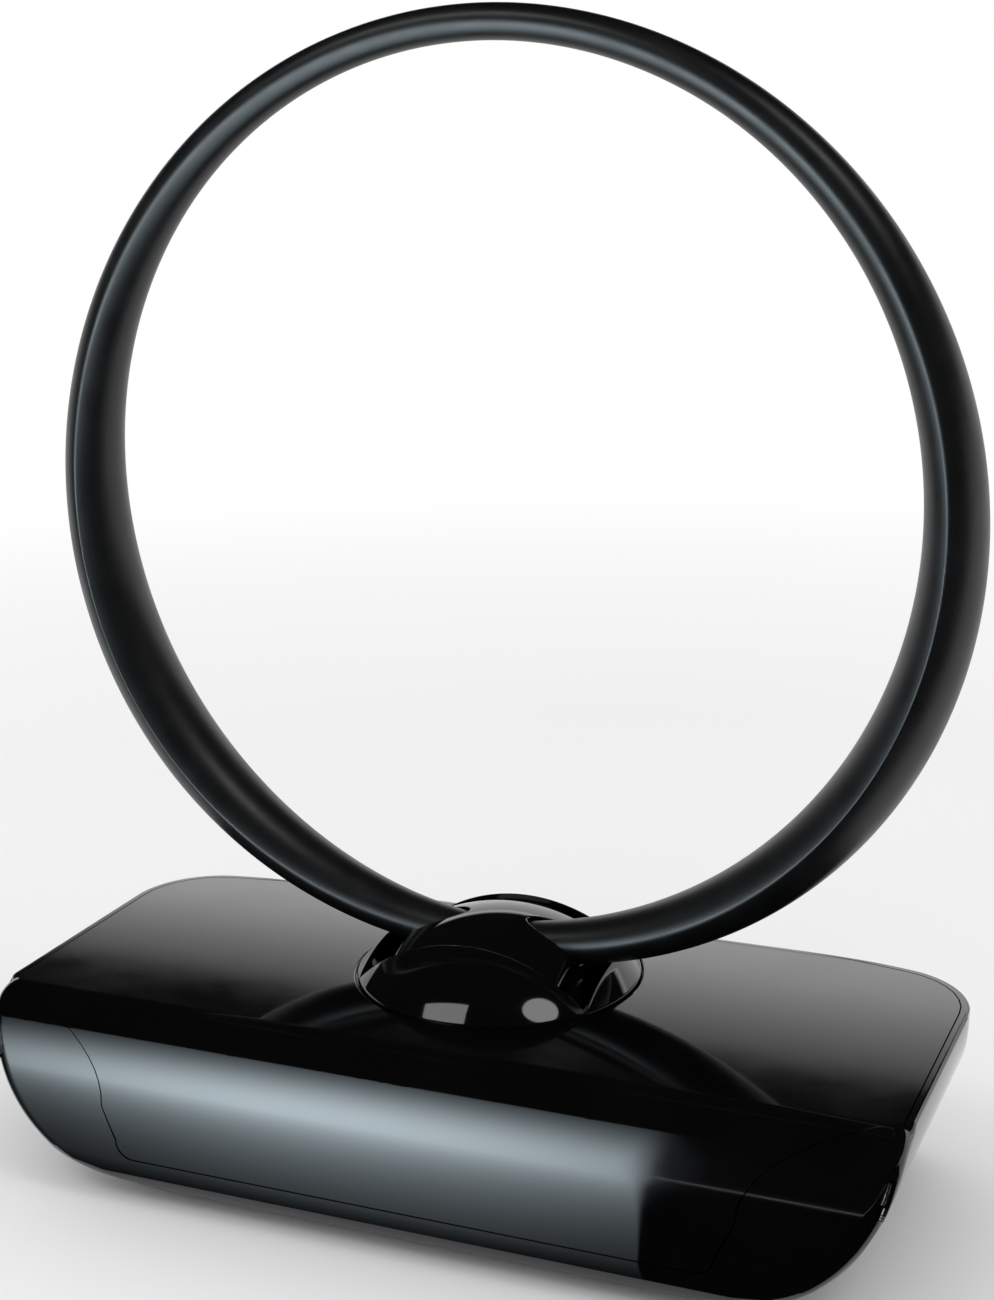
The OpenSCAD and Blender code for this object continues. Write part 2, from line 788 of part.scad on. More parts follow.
top_cover();
lower_shell();
retaining_ring();
retaining_screws();
swivel_washer();
case_screws();
foot_front_left();
foot_front_right();
foot_rear_left();
foot_rear_right();
ballast_plate();
matching_board();
balun_core();
coax_socket();
board_screws();
cable_gland();
swivel_cup();
tilt_pin_left();
tilt_pin_right();
tilt_washer_left();
tilt_washer_right();
tilt_cap();
hub_cradle();
cap_screws();
loop_front_shell();
loop_rear_shell();
loop_conductor();
terminal_left();
terminal_right();
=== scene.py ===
"""Indoor loop television aerial: gloss black base with a domed swivelling hub, satin black loop."""

import math

import bmesh
import bpy
import numpy as np
from mathutils import Matrix, Vector


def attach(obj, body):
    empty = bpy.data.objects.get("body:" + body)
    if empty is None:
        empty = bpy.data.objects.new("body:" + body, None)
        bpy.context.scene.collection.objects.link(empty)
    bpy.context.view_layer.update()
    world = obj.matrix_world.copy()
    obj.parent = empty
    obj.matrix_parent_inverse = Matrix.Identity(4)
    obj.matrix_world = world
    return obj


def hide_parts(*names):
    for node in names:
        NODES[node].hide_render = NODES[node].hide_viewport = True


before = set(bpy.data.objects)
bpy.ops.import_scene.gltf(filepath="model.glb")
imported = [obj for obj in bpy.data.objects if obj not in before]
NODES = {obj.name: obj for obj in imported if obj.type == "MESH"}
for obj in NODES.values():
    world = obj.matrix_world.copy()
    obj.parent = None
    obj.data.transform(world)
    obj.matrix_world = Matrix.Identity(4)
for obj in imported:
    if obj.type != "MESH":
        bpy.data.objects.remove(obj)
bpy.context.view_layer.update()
MM = 0.001

# The part's own measures, in mm
HALF_W = 100.0
FRONT_Y = -47.0
REAR_Y = 47.0
BASE_TOP = 42.0
FLOOR_Z = 1.5
SIDE_R = 41.0
BROW_R = 8.6
CHIN_R = 9.0
FRONT_TILT = math.radians(22.0)
SOLID_BROW_R = 13.0
SOLID_LEAN = math.radians(3.0)
REAR_BROW_R = 8.0
REAR_CHIN_R = 6.0
REAR_CORNER_R = 20.0
REAR_BOW_R = 445.0
CHEEK_R = 4.0
HUB_Y = 7.4
HUB_R = 31.0
HUB_LINE = 0.4
DOME_RISE = 15.0
RIM_PROUD = 0.3
DOME_T = 1.1
CUP_T = 1.6
CUP_TOP = 40.0
SLOT_HALF = 16.0
SLOT_REACH = 26.0
CAP_GAP = 0.3
CAP_HALF = 19.5
CAP_T = 1.3
CAP_LOW = 42.5
CAP_SKIRT_R = 25.0
ENTRY_R = 5.1
LOOP_R = 96.0
LOOP_Z = BASE_TOP + 103.5
CROWN_R = 3.6
FOOT_R = 4.2
SWELL_W = 2.8
SWELL_D = 5.6
SWELL_AT = 117.0
CROWN_D = 3.8
CASING_GAP_X = 6.0
RIDGE_R = 0.45
EDGE_R = 0.8
CHEEK_SOFT = 3.4
LINE_R = 0.3
CAP_END_R = 1.2

# How the smooth skins are made: what counts as outer, how fine, and how far a point may move, in mm
SKIN_NEAR = 0.22
SKIN_FACING = 0.8
SKIN_SPLITS = 14
SKIN_MOST_TRIANGLES = 150000
SKIN_FINEST = 0.2
SKIN_GROWTH = 0.55
SKIN_PULLS = 6
SKIN_FARTHEST = 2.5
SKIN_TURNED = 0.15

# The camera: where it looks, from where, and how long its lens is
TARGET = Vector((0.7, 7.4, 114.4)) * MM
YAW = math.radians(23.0)
ELEVATION = math.radians(14.57)
ROLL = math.radians(-1.01)
DISTANCE = 0.4502
LENS = 59.21
SENSOR = 36.0


# Materials
class Nodes:
    """Builds one node material step by step."""

    def __init__(self, name):
        self.material = bpy.data.materials.new(name)
        self.material.use_nodes = True
        self.tree = self.material.node_tree
        self.tree.nodes.clear()
        self.output = self.tree.nodes.new("ShaderNodeOutputMaterial")
        self.shader = self.tree.nodes.new("ShaderNodeBsdfPrincipled")
        self.link(self.shader.outputs["BSDF"], self.output.inputs["Surface"])
        self.place = self.tree.nodes.new("ShaderNodeTexCoord").outputs["Object"]

    def link(self, a, b):
        self.tree.links.new(a, b)

    def set(self, **values):
        for key, value in values.items():
            self.shader.inputs[key.replace("_", " ")].default_value = value
        return self

    def noise(self, scale, detail=4.0, rough=0.5, stretch=None):
        node = self.tree.nodes.new("ShaderNodeTexNoise")
        node.inputs["Scale"].default_value = scale
        node.inputs["Detail"].default_value = detail
        node.inputs["Roughness"].default_value = rough
        place = self.place
        if stretch:
            mapping = self.tree.nodes.new("ShaderNodeMapping")
            mapping.inputs["Scale"].default_value = stretch
            self.link(self.place, mapping.inputs["Vector"])
            place = mapping.outputs["Vector"]
        self.link(place, node.inputs["Vector"])
        return node.outputs["Fac"]

    def spread(self, value, low, high, start=0.3, end=0.7):
        """The value, taken from start..end to low..high."""
        node = self.tree.nodes.new("ShaderNodeMapRange")
        node.inputs["From Min"].default_value = start
        node.inputs["From Max"].default_value = end
        node.inputs["To Min"].default_value = low
        node.inputs["To Max"].default_value = high
        self.link(value, node.inputs["Value"])
        return node.outputs["Result"]

    def shade(self, value, dark, light):
        """Colour that runs from dark to light with the value."""
        node = self.tree.nodes.new("ShaderNodeValToRGB")
        for element, position, colour in zip(node.color_ramp.elements, (0.3, 0.7), (dark, light)):
            element.position = position
            element.color = (*colour, 1)
        self.link(value, node.inputs["Fac"])
        return node.outputs["Color"]

    def math(self, operation, *values):
        """A sum, product or the like of sockets and plain numbers."""
        node = self.tree.nodes.new("ShaderNodeMath")
        node.operation = operation
        for slot, value in zip(node.inputs, values):
            if isinstance(value, (int, float)):
                slot.default_value = value
            else:
                self.link(value, slot)
        return node.outputs["Value"]

    def bump(self, value, depth):
        node = self.tree.nodes.new("ShaderNodeBump")
        node.inputs["Strength"].default_value = 1.0
        node.inputs["Distance"].default_value = depth
        self.link(value, node.inputs["Height"])
        return node.outputs["Normal"]

    def use(self, **sockets):
        for key, socket in sockets.items():
            self.link(socket, self.shader.inputs[key.replace("_", " ")])
        return self


def gloss_black():
    m = Nodes("gloss_black_plastic")
    m.set(IOR=1.5, Specular_IOR_Level=0.6)
    haze = m.noise(38.0, 5.0, 0.6)
    m.use(Base_Color=m.shade(haze, (0.001, 0.001, 0.0011), (0.002, 0.002, 0.0023)))
    m.use(Roughness=m.spread(m.noise(55.0, 6.0, 0.65), 0.035, 0.075))
    m.use(Normal=m.bump(m.noise(70.0, 2.0, 0.4), 0.000004))
    return m.material


def satin_black():
    m = Nodes("satin_black_plastic")
    m.set(IOR=1.5, Specular_IOR_Level=0.5)
    m.use(Base_Color=m.shade(m.noise(60.0, 5.0, 0.6), (0.002, 0.0022, 0.0025), (0.004, 0.0044, 0.005)))
    m.use(Roughness=m.spread(m.noise(120.0, 5.0, 0.6), 0.33, 0.41))
    m.use(Normal=m.bump(m.noise(5200.0, 2.0, 0.5), 0.000012))
    return m.material


def inner_black():
    m = Nodes("inner_black_plastic")
    m.use(Base_Color=m.shade(m.noise(90.0), (0.014, 0.014, 0.015), (0.024, 0.024, 0.026)))
    m.use(Roughness=m.spread(m.noise(200.0), 0.42, 0.58))
    m.use(Normal=m.bump(m.noise(3000.0), 0.00001))
    return m.material


def rubber():
    m = Nodes("rubber")
    m.use(Base_Color=m.shade(m.noise(160.0), (0.016, 0.016, 0.016), (0.03, 0.03, 0.029)))
    m.use(Roughness=m.spread(m.noise(300.0), 0.68, 0.86))
    m.use(Normal=m.bump(m.noise(2600.0, 3.0, 0.7), 0.00003))
    return m.material


def metal(name, dark, light, low, high):
    m = Nodes(name)
    m.set(Metallic=1.0)
    grain = m.noise(900.0, 4.0, 0.6, (1.0, 1.0, 0.05))
    m.use(Base_Color=m.shade(grain, dark, light))
    m.use(Roughness=m.spread(grain, low, high))
    m.use(Normal=m.bump(grain, 0.000006))
    return m.material


def board():
    m = Nodes("board")
    weave = m.noise(1400.0, 1.0, 0.3, (1.0, 0.2, 1.0))
    m.use(Base_Color=m.shade(weave, (0.01, 0.075, 0.03), (0.018, 0.12, 0.05)))
    m.use(Roughness=m.spread(weave, 0.3, 0.45))
    m.use(Normal=m.bump(weave, 0.00001))
    return m.material


def ferrite():
    m = Nodes("ferrite")
    m.use(Base_Color=m.shade(m.noise(700.0), (0.03, 0.03, 0.033), (0.07, 0.07, 0.075)))
    m.use(Roughness=m.spread(m.noise(900.0), 0.5, 0.75))
    m.use(Normal=m.bump(m.noise(1800.0), 0.00003))
    return m.material


FINISH = {
    "gloss_black": gloss_black(),
    "satin_black": satin_black(),
    "inner_black": inner_black(),
    "rubber": rubber(),
    "steel": metal("zinc_steel", (0.42, 0.43, 0.44), (0.62, 0.63, 0.64), 0.25, 0.42),
    "aluminium_rod": metal("aluminium", (0.68, 0.69, 0.7), (0.84, 0.85, 0.86), 0.2, 0.34),
    "brass": metal("brass", (0.55, 0.38, 0.13), (0.75, 0.56, 0.24), 0.22, 0.36),
    "board": board(),
    "ferrite": ferrite(),
}
WEARS = {
    "gloss_black": ["top_cover", "lower_shell", "swivel_cup", "tilt_cap"],
    "satin_black": ["loop_front_shell", "loop_rear_shell"],
    "inner_black": ["retaining_ring", "hub_cradle"],
    "rubber": ["foot_front_left", "foot_front_right", "foot_rear_left", "foot_rear_right",
               "cable_gland", "swivel_washer", "tilt_washer_left", "tilt_washer_right"],
    "steel": ["ballast_plate", "case_screws", "retaining_screws", "board_screws", "cap_screws",
              "tilt_pin_left", "tilt_pin_right", "coax_socket"],
    "aluminium_rod": ["loop_conductor"],
    "brass": ["terminal_left", "terminal_right"],
    "board": ["matching_board"],
    "ferrite": ["balun_core"],
}
for finish_name, members in WEARS.items():
    for member in members:
        NODES[member].data.materials.clear()
        NODES[member].data.materials.append(FINISH[finish_name])


# Pieces
def placed(name, data):
    """An object with this mesh, light or camera, linked to the scene."""
    made = bpy.data.objects.new(name, data)
    bpy.context.scene.collection.objects.link(made)
    return made


def dressed(name, mesh, finish, body, stands_for=()):
    """The mesh as a piece in its finish that rides on a body and replaces the CAD nodes, if any."""
    mesh.materials.append(FINISH[finish])
    made = placed(name, mesh)
    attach(made, body)
    if stands_for:
        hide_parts(*stands_for)
    return made


def smooth_mesh(name, points, faces):
    """A smooth-shaded mesh from points in mm."""
    mesh = bpy.data.meshes.new(name)
    mesh.from_pydata((np.asarray(points) * MM).tolist(), [], faces)
    mesh.update()
    mesh.shade_smooth()
    return mesh


def round_max(a, b, r):
    """The greater of two distances, with the edge between them rounded to radius r."""
    return np.minimum(np.maximum(a, b), -r) + np.hypot(np.maximum(a + r, 0.0), np.maximum(b + r, 0.0))


BROW_Z = BASE_TOP - BROW_R
CHIN_Z = FLOOR_Z + CHIN_R
CHIN_Y = FRONT_Y + CHIN_R
FRONT_R = BROW_R + (BROW_Z - CHIN_Z) / math.sin(FRONT_TILT)
BOWL_Y = FRONT_Y + FRONT_R
BROW_Y = BOWL_Y - (FRONT_R - BROW_R) * math.cos(FRONT_TILT)
BOW_Y = REAR_Y - REAR_BOW_R
CORNER_X = HALF_W - REAR_CORNER_R
CORNER_Y = BOW_Y + math.sqrt((REAR_BOW_R - REAR_CORNER_R) ** 2 - CORNER_X**2)
DOME_H = DOME_RISE - RIM_PROUD
DOME_R = (HUB_R**2 + DOME_H**2) / (2 * DOME_H)
PIVOT_Z = BASE_TOP + DOME_RISE - DOME_R
CAP_R = DOME_R - DOME_T - CAP_GAP

def flank(x, z):
    """Distance outside the sides and their big curve, without the flat underside."""
    u = np.abs(x) - (HALF_W - SIDE_R)
    curve = np.hypot(np.maximum(u, 0.0), np.maximum(FLOOR_Z + SIDE_R - z, 0.0)) - SIDE_R
    wall = np.where(z < FLOOR_Z + SIDE_R, curve, u - SIDE_R)
    return np.where(u > 0, wall, FLOOR_Z - z + u)


def nose(y, z):
    """Distance outside the rolled brow, the bowed front and the chin, without the flats beyond them."""
    brow = np.hypot(y - BROW_Y, z - BROW_Z) - BROW_R
    bowl = np.hypot(y - BOWL_Y, z - CHIN_Z) - FRONT_R
    chin = np.hypot(y - CHIN_Y, z - CHIN_Z) - CHIN_R
    over = (y - BROW_Y) * math.sin(FRONT_TILT) + (z - BROW_Z) * math.cos(FRONT_TILT) > 0
    under = z < CHIN_Z
    found = np.where(over, brow, np.where(under, chin, bowl))
    found = np.where(over & (y > BROW_Y), z - BASE_TOP - (y - BROW_Y), found)
    return np.where(under & (y > CHIN_Y), FLOOR_Z - z - (y - CHIN_Y), found)


def solid_nose(y, z):
    """Distance outside the front as the solids have it: a larger brow and a flat, leaning front."""
    brow_z = BASE_TOP - SOLID_BROW_R
    lean_run = (brow_z - CHIN_Z) * math.tan(SOLID_LEAN)
    brow_y = CHIN_Y + (SOLID_BROW_R - CHIN_R) / math.cos(SOLID_LEAN) + lean_run
    brow = np.hypot(y - brow_y, z - brow_z) - SOLID_BROW_R
    chin = np.hypot(y - CHIN_Y, z - CHIN_Z) - CHIN_R
    face = -(y - CHIN_Y) * math.cos(SOLID_LEAN) + (z - CHIN_Z) * math.sin(SOLID_LEAN) - CHIN_R
    over = (y - brow_y) * math.sin(SOLID_LEAN) + (z - brow_z) * math.cos(SOLID_LEAN) > 0
    under = (y - CHIN_Y) * math.sin(SOLID_LEAN) + (z - CHIN_Z) * math.cos(SOLID_LEAN) < 0
    found = np.where(over, brow, np.where(under, chin, face))
    found = np.where(over & (y > brow_y), z - BASE_TOP - (y - brow_y), found)
    return np.where(under & (y > CHIN_Y), FLOOR_Z - z - (y - CHIN_Y), found)


def rear(x, y):
    """Distance outside the bowed rear and its corners, without the straight sides."""
    u = np.abs(x) - CORNER_X
    v = y - CORNER_Y
    corner = np.hypot(u, v) - REAR_CORNER_R
    bow = np.hypot(x, y - BOW_Y) - REAR_BOW_R
    turn = math.atan2(CORNER_Y - BOW_Y, CORNER_X)
    in_corner = (v > 0) & (math.cos(turn) * v - math.sin(turn) * u < 0)
    return np.where(in_corner, corner, np.where(v > 0, bow, u - REAR_CORNER_R + v))


def base_plain(p, front=nose):
    x, y, z = p[:, 0], p[:, 1], p[:, 2]
    rear_brow = round_max(z - BASE_TOP, y - REAR_Y, REAR_BROW_R)
    rear_chin = round_max(FLOOR_Z - z, y - REAR_Y, REAR_CHIN_R)
    return np.maximum.reduce([flank(x, z), front(y, z), rear(x, y), rear_brow, rear_chin])


def base_pairs(p):
    """The pairs of surfaces whose shared edge is rounded, and by how much."""
    x, y, z = p[:, 0], p[:, 1], p[:, 2]
    side, front, back = flank(x, z), nose(y, z), rear(x, y)
    top = round_max(z - BASE_TOP, y - REAR_Y, REAR_BROW_R)
    return [(side, front, CHEEK_SOFT), (side, top, EDGE_R), (back, top, EDGE_R), (side, back, EDGE_R)]


def cover_pairs(p):
    hole = HUB_R + HUB_LINE - np.hypot(p[:, 0], p[:, 1] - HUB_Y)
    return base_pairs(p) + [(p[:, 2] - BASE_TOP, hole, LINE_R)]


def sphere(p, radius):
    return np.sqrt(p[:, 0] ** 2 + (p[:, 1] - HUB_Y) ** 2 + (p[:, 2] - PIVOT_Z) ** 2) - radius


def cup_plain(p):
    return sphere(p, DOME_R)


def cup_pairs(p):
    ball = sphere(p, DOME_R)
    y = p[:, 1] - HUB_Y
    window = np.minimum(SLOT_REACH - np.abs(p[:, 0]), SLOT_HALF - np.abs(y))
    return [(ball, np.hypot(p[:, 0], y) - HUB_R, LINE_R), (ball, window, LINE_R)]


def cap_plain(p):
    return np.maximum(sphere(p, CAP_R), np.abs(p[:, 0]) - CAP_HALF)


def cap_pairs(p):
    ball = sphere(p, CAP_R)
    end = np.abs(p[:, 0]) - CAP_HALF
    ring = np.hypot(p[:, 0], p[:, 2] - LOOP_Z) - LOOP_R
    entry = ENTRY_R - np.hypot(ring, p[:, 1] - HUB_Y)
    return [(ball, end, CAP_END_R), (ball, entry, LINE_R), (end, entry, LINE_R)]


def rounded(plain, pairs):
    return lambda p: np.maximum.reduce([plain(p)] + [round_max(a, b, r) for a, b, r in pairs(p)])


def slope(field, p, h=0.004):
    """The direction in which the field grows."""
    steps = [np.eye(3)[k] * h for k in range(3)]
    g = np.stack([field(p + d) - field(p - d) for d in steps], -1) / (2 * h)
    return g / np.maximum(np.linalg.norm(g, axis=1, keepdims=True), 1e-9)


def welded(mesh):
    """A mesh's corners and triangles, in mm, with shared corners joined."""
    co = np.empty(len(mesh.vertices) * 3)
    mesh.vertices.foreach_get("co", co)
    co = co.reshape(-1, 3) / MM
    mesh.calc_loop_triangles()
    tris = np.empty(len(mesh.loop_triangles) * 3, int)
    mesh.loop_triangles.foreach_get("vertices", tris)
    _, first, where = np.unique(np.round(co, 3), axis=0, return_index=True, return_inverse=True)
    tris = where.reshape(-1)[tris].reshape(-1, 3)
    good = (tris[:, 0] != tris[:, 1]) & (tris[:, 1] != tris[:, 2]) & (tris[:, 2] != tris[:, 0])
    return co[first], tris[good]


def face_normals(co, tris):
    n = np.cross(co[tris[:, 1]] - co[tris[:, 0]], co[tris[:, 2]] - co[tris[:, 0]])
    return n / np.maximum(np.linalg.norm(n, axis=1, keepdims=True), 1e-12)


def finer(co, tris, outer, longest):
    """Splits every edge of an outer face that is longer than allowed at its middle, with no gaps."""
    for _ in range(SKIN_SPLITS):
        edges = np.sort(tris[:, [0, 1, 1, 2, 2, 0]].reshape(-1, 2), axis=1)
        key, back = np.unique(edges[:, 0] * np.int64(len(co)) + edges[:, 1], return_inverse=True)
        back = back.reshape(-1, 3)
        a, b = key // len(co), key % len(co)
        mid = (co[a] + co[b]) / 2
        length = np.linalg.norm(co[a] - co[b], axis=1)
        used = np.zeros(len(key), bool)
        used[back[outer].ravel()] = True
        split = used & (length > longest(mid))
        if not split.any() or len(tris) > SKIN_MOST_TRIANGLES:
            break
        new = np.full(len(key), -1)
        new[split] = len(co) + np.arange(split.sum())
        co = np.vstack([co, mid[split]])
        m = new[back]
        count = (m >= 0).sum(1)
        made, kept = [], []
        none = count == 0
        made.append(tris[none])
        kept.append(outer[none])
        for k in range(3):
            v0, v1, v2 = tris[:, k], tris[:, (k + 1) % 3], tris[:, (k + 2) % 3]
            m0, m1, m2 = m[:, k], m[:, (k + 1) % 3], m[:, (k + 2) % 3]
            one = (count == 1) & (m0 >= 0)
            made += [np.stack([v0, m0, v2], 1)[one], np.stack([m0, v1, v2], 1)[one]]
            kept += [outer[one]] * 2
            two = (count == 2) & (m2 < 0)
            made += [np.stack(points, 1)[two] for points in ([m0, v1, m1], [v0, m0, m1], [v0, m1, v2])]
            kept += [outer[two]] * 3
        three = count == 3
        t, mm = tris[three], m[three]
        made += [np.stack([t[:, 0], mm[:, 0], mm[:, 2]], 1), np.stack([mm[:, 0], t[:, 1], mm[:, 1]], 1),
                 np.stack([mm[:, 2], mm[:, 1], t[:, 2]], 1), mm]
        kept += [outer[three]] * 4
        tris, outer = np.vstack(made), np.concatenate(kept)
    return co, tris, outer


def smooth_skin(name, node, plain, pairs, known, coarse, body, mesh_of=None):
    """A moulded piece with true curved faces and soft edges, on the lines of its node."""
    field = rounded(plain, pairs)
    co, tris = welded(mesh_of or NODES[node].data)
    centres = co[tris].mean(1)
    near = np.abs(known(co)) < SKIN_NEAR
    outer = near[tris].all(1) & ((slope(known, centres) * face_normals(co, tris)).sum(1) > SKIN_FACING)

    def longest(p):
        allowed = coarse(p)
        for a, b, r in pairs(p):
            least = max(0.3 * r, SKIN_FINEST)
            allowed = np.minimum(allowed, least + SKIN_GROWTH * np.maximum(-(np.minimum(a, b) + r), 0.0))
        return allowed

    co, tris, outer = finer(co, tris, outer, longest)
    touched = np.zeros(len(co), bool)
    touched[tris[outer].ravel()] = True
    moved = co[touched]
    for _ in range(SKIN_PULLS):
        moved = moved - slope(field, moved) * field(moved)[:, None]
    shift = np.linalg.norm(moved - co[touched], axis=1)
    moved[shift > SKIN_FARTHEST] = co[touched][shift > SKIN_FARTHEST]
    co[touched] = moved
    point_normals = np.zeros_like(co)
    point_normals[touched] = slope(field, moved)
    flat = face_normals(co, tris)
    corner = np.repeat(flat[:, None, :], 3, axis=1)
    corner[outer] = point_normals[tris[outer]]
    flip = (corner * flat[:, None, :]).sum(-1) < SKIN_TURNED
    corner[flip] = np.repeat(flat[:, None, :], 3, axis=1)[flip]
    mesh = smooth_mesh(name, co, tris.tolist())
    mesh.normals_split_custom_set(corner.reshape(-1, 3).tolist())
    dressed(name, mesh, "gloss_black", body, [node])


def cad_base(p):
    """The base as the solids have it, with the rounded front edges of the lower shell."""
    plain = base_plain(p, solid_nose)
    cheek = np.maximum(plain, round_max(flank(p[:, 0], p[:, 2]), FRONT_Y - p[:, 1], CHEEK_R))
    return np.where(np.abs(plain) < np.abs(cheek), plain, cheek)


def base_coarse(p):
    return np.where(p[:, 1] < BROW_Y + 2.0, 1.6, 3.5)


def dome_coarse(p):
    return np.full(len(p), 1.5)


smooth_skin("base_shell", "lower_shell", base_plain, base_pairs, cad_base, base_coarse, "base")
smooth_skin("base_cover", "top_cover", base_plain, cover_pairs, cad_base, base_coarse, "base")
smooth_skin("hub_dome", "swivel_cup", cup_plain, cup_pairs, cup_plain, dome_coarse, "swivel")


def solid(points, faces):
    """A scratch object in mm for the boolean work, which combined() or cap_mesh() takes away again."""
    mesh = bpy.data.meshes.new("scratch")
    mesh.from_pydata([tuple(p) for p in points], [], faces)
    return placed("scratch", mesh)


def block(low, high):
    corners = [(x, y, z) for x in (low[0], high[0]) for y in (low[1], high[1]) for z in (low[2], high[2])]
    sides = [(0, 1, 3, 2), (4, 6, 7, 5), (0, 4, 5, 1), (2, 3, 7, 6), (0, 2, 6, 4), (1, 5, 7, 3)]
    return solid(corners, sides)


def turned(rows, turns, centre, upright=True):
    """A closed ring of rows [distance, height], turned about the upright axis or about Y."""
    points, n = [], len(rows)
    for k in range(turns):
        t = 2 * math.pi * k / turns
        for r, h in rows:
            u, v = r * math.cos(t), r * math.sin(t)
            x, y, z = (u, v, h) if upright else (u, h, v)
            points.append((centre[0] + x, centre[1] + y, centre[2] + z))
    faces = [(k * n + j, (k + 1) % turns * n + j, (k + 1) % turns * n + (j + 1) % n, k * n + (j + 1) % n)
             for k in range(turns) for j in range(n)]
    if not upright:
        faces = [f[::-1] for f in faces]
    return solid(points, faces)


def ball_of(radius):
    centre = Matrix.Translation((0, HUB_Y, PIVOT_Z))
    bm = bmesh.new()
    bmesh.ops.create_icosphere(bm, subdivisions=5, radius=radius, matrix=centre)
    mesh = bpy.data.meshes.new("scratch")
    bm.to_mesh(mesh)
    bm.free()
    return placed("scratch", mesh)


def combined(base, operation, tool):
    """The base after a boolean with the tool, which is used up."""
    step = base.modifiers.new("step", "BOOLEAN")
    step.operation = operation
    step.solver = "EXACT"
    step.object = tool
    result = bpy.data.meshes.new_from_object(base.evaluated_get(bpy.context.evaluated_depsgraph_get()))
    base.modifiers.clear()
    base.data = result
    bpy.data.objects.remove(tool)
    return base


def cap_mesh():
    """The dome's middle band, whole on top, with a hole in each end for the loop's limbs."""
    far, high, axis_r = 60.0, 80.0, 0.001
    skirt_low, hollow_low = CAP_LOW - 5.0, CAP_LOW - 9.0
    inner_r = CAP_R - CAP_T
    end = CAP_HALF - CAP_T
    made = combined(ball_of(CAP_R), "INTERSECT", block((-CAP_HALF, -far, CAP_LOW), (CAP_HALF, far, high)))
    skirt = [(axis_r, 0.0), (CAP_SKIRT_R, 0.0), (CAP_SKIRT_R, far), (axis_r, far)]
    made = combined(made, "INTERSECT", turned(skirt, 144, (0.0, HUB_Y, skirt_low)))
    hollow = combined(ball_of(inner_r), "INTERSECT", block((-end, -far, hollow_low), (end, far, high)))
    made = combined(made, "DIFFERENCE", hollow)
    for side in (-1, 1):
        reach = sorted((HUB_Y + side * (SLOT_HALF - 1.0), HUB_Y + side * far))
        beyond = block((-far, reach[0], hollow_low), (far, reach[1], high))
        made = combined(made, "DIFFERENCE", combined(ball_of(inner_r), "INTERSECT", beyond))
    circle = np.linspace(0, 2 * math.pi, 49)[:-1]
    ring = [(LOOP_R + ENTRY_R * math.cos(t), ENTRY_R * math.sin(t)) for t in circle]
    made = combined(made, "DIFFERENCE", turned(ring, 288, (0.0, HUB_Y, LOOP_Z), upright=False))
    mesh = made.data
    bpy.data.objects.remove(made)
    mesh.transform(Matrix.Scale(MM, 4))
    return mesh


smooth_skin("hub_cap", "tilt_cap", cap_plain, cap_pairs, cap_plain, dome_coarse, "loop", cap_mesh())


def shoulder(name, side):
    """The narrow crescent of the dome beyond one end of its slot, which stands on the cup's wall."""
    stations, across, turn = 48, 10, np.radians(np.linspace(0, 90, 6))
    inner_r = HUB_R - CUP_T
    points = []
    for y in np.linspace(-SLOT_HALF, SLOT_HALF, stations + 1):
        rim = math.sqrt(HUB_R**2 - y**2)
        stand = max(SLOT_REACH, math.sqrt(inner_r**2 - y**2))
        soft = min(LINE_R, 0.3 * (rim - SLOT_REACH))

        def ball(x, radius=DOME_R):
            return PIVOT_Z + math.sqrt(radius**2 - x**2 - y**2)

        foot = ball(SLOT_REACH, DOME_R - DOME_T) if stand > SLOT_REACH else CUP_TOP
        lip, edge = ball(SLOT_REACH), ball(rim - soft)
        row = [(SLOT_REACH, foot)]
        row += [(SLOT_REACH + soft * (1 - math.cos(t)), lip - soft * (1 - math.sin(t))) for t in turn]
        row += [(x, ball(x)) for x in np.linspace(SLOT_REACH + soft, rim - soft, across + 1)[1:-1]]
        row += [(rim - soft * (1 - math.sin(t)), edge - soft * (1 - math.cos(t))) for t in turn]
        row += [(rim, CUP_TOP), (stand, CUP_TOP)]
        row += [(stand, ball(stand, DOME_R - DOME_T) if stand > SLOT_REACH else CUP_TOP)]
        points += [(side * x, HUB_Y + y, z) for x, z in row]
    n = len(row)
    faces = [[i * n + k, i * n + (k + 1) % n, (i + 1) * n + (k + 1) % n, (i + 1) * n + k]
             for i in range(stations) for k in range(n)]
    faces += [list(range(n))[::-1], [stations * n + k for k in range(n)]]
    if side > 0:
        faces = [f[::-1] for f in faces]
    mesh = smooth_mesh(name, points, faces)
    mesh.set_sharp_from_angle(angle=math.radians(35.0))
    dressed(name, mesh, "gloss_black", "swivel")


shoulder("dome_shoulder_left", -1.0)
shoulder("dome_shoulder_right", 1.0)


def swell(a):
    """How far the section has grown at angle a from the loop's top, 0 at both ends and 1 at the fullest."""
    power = math.log(0.5) / math.log(SWELL_AT / 180.0)
    share = np.clip(np.abs(a) / math.pi, 0.0, 1.0)
    return np.clip(np.sin(math.pi * share**power), 0.0, 1.0) ** 1.3


def stem(a):
    return (FOOT_R - CROWN_R) * (1.0 - np.cos(a)) / 2.0


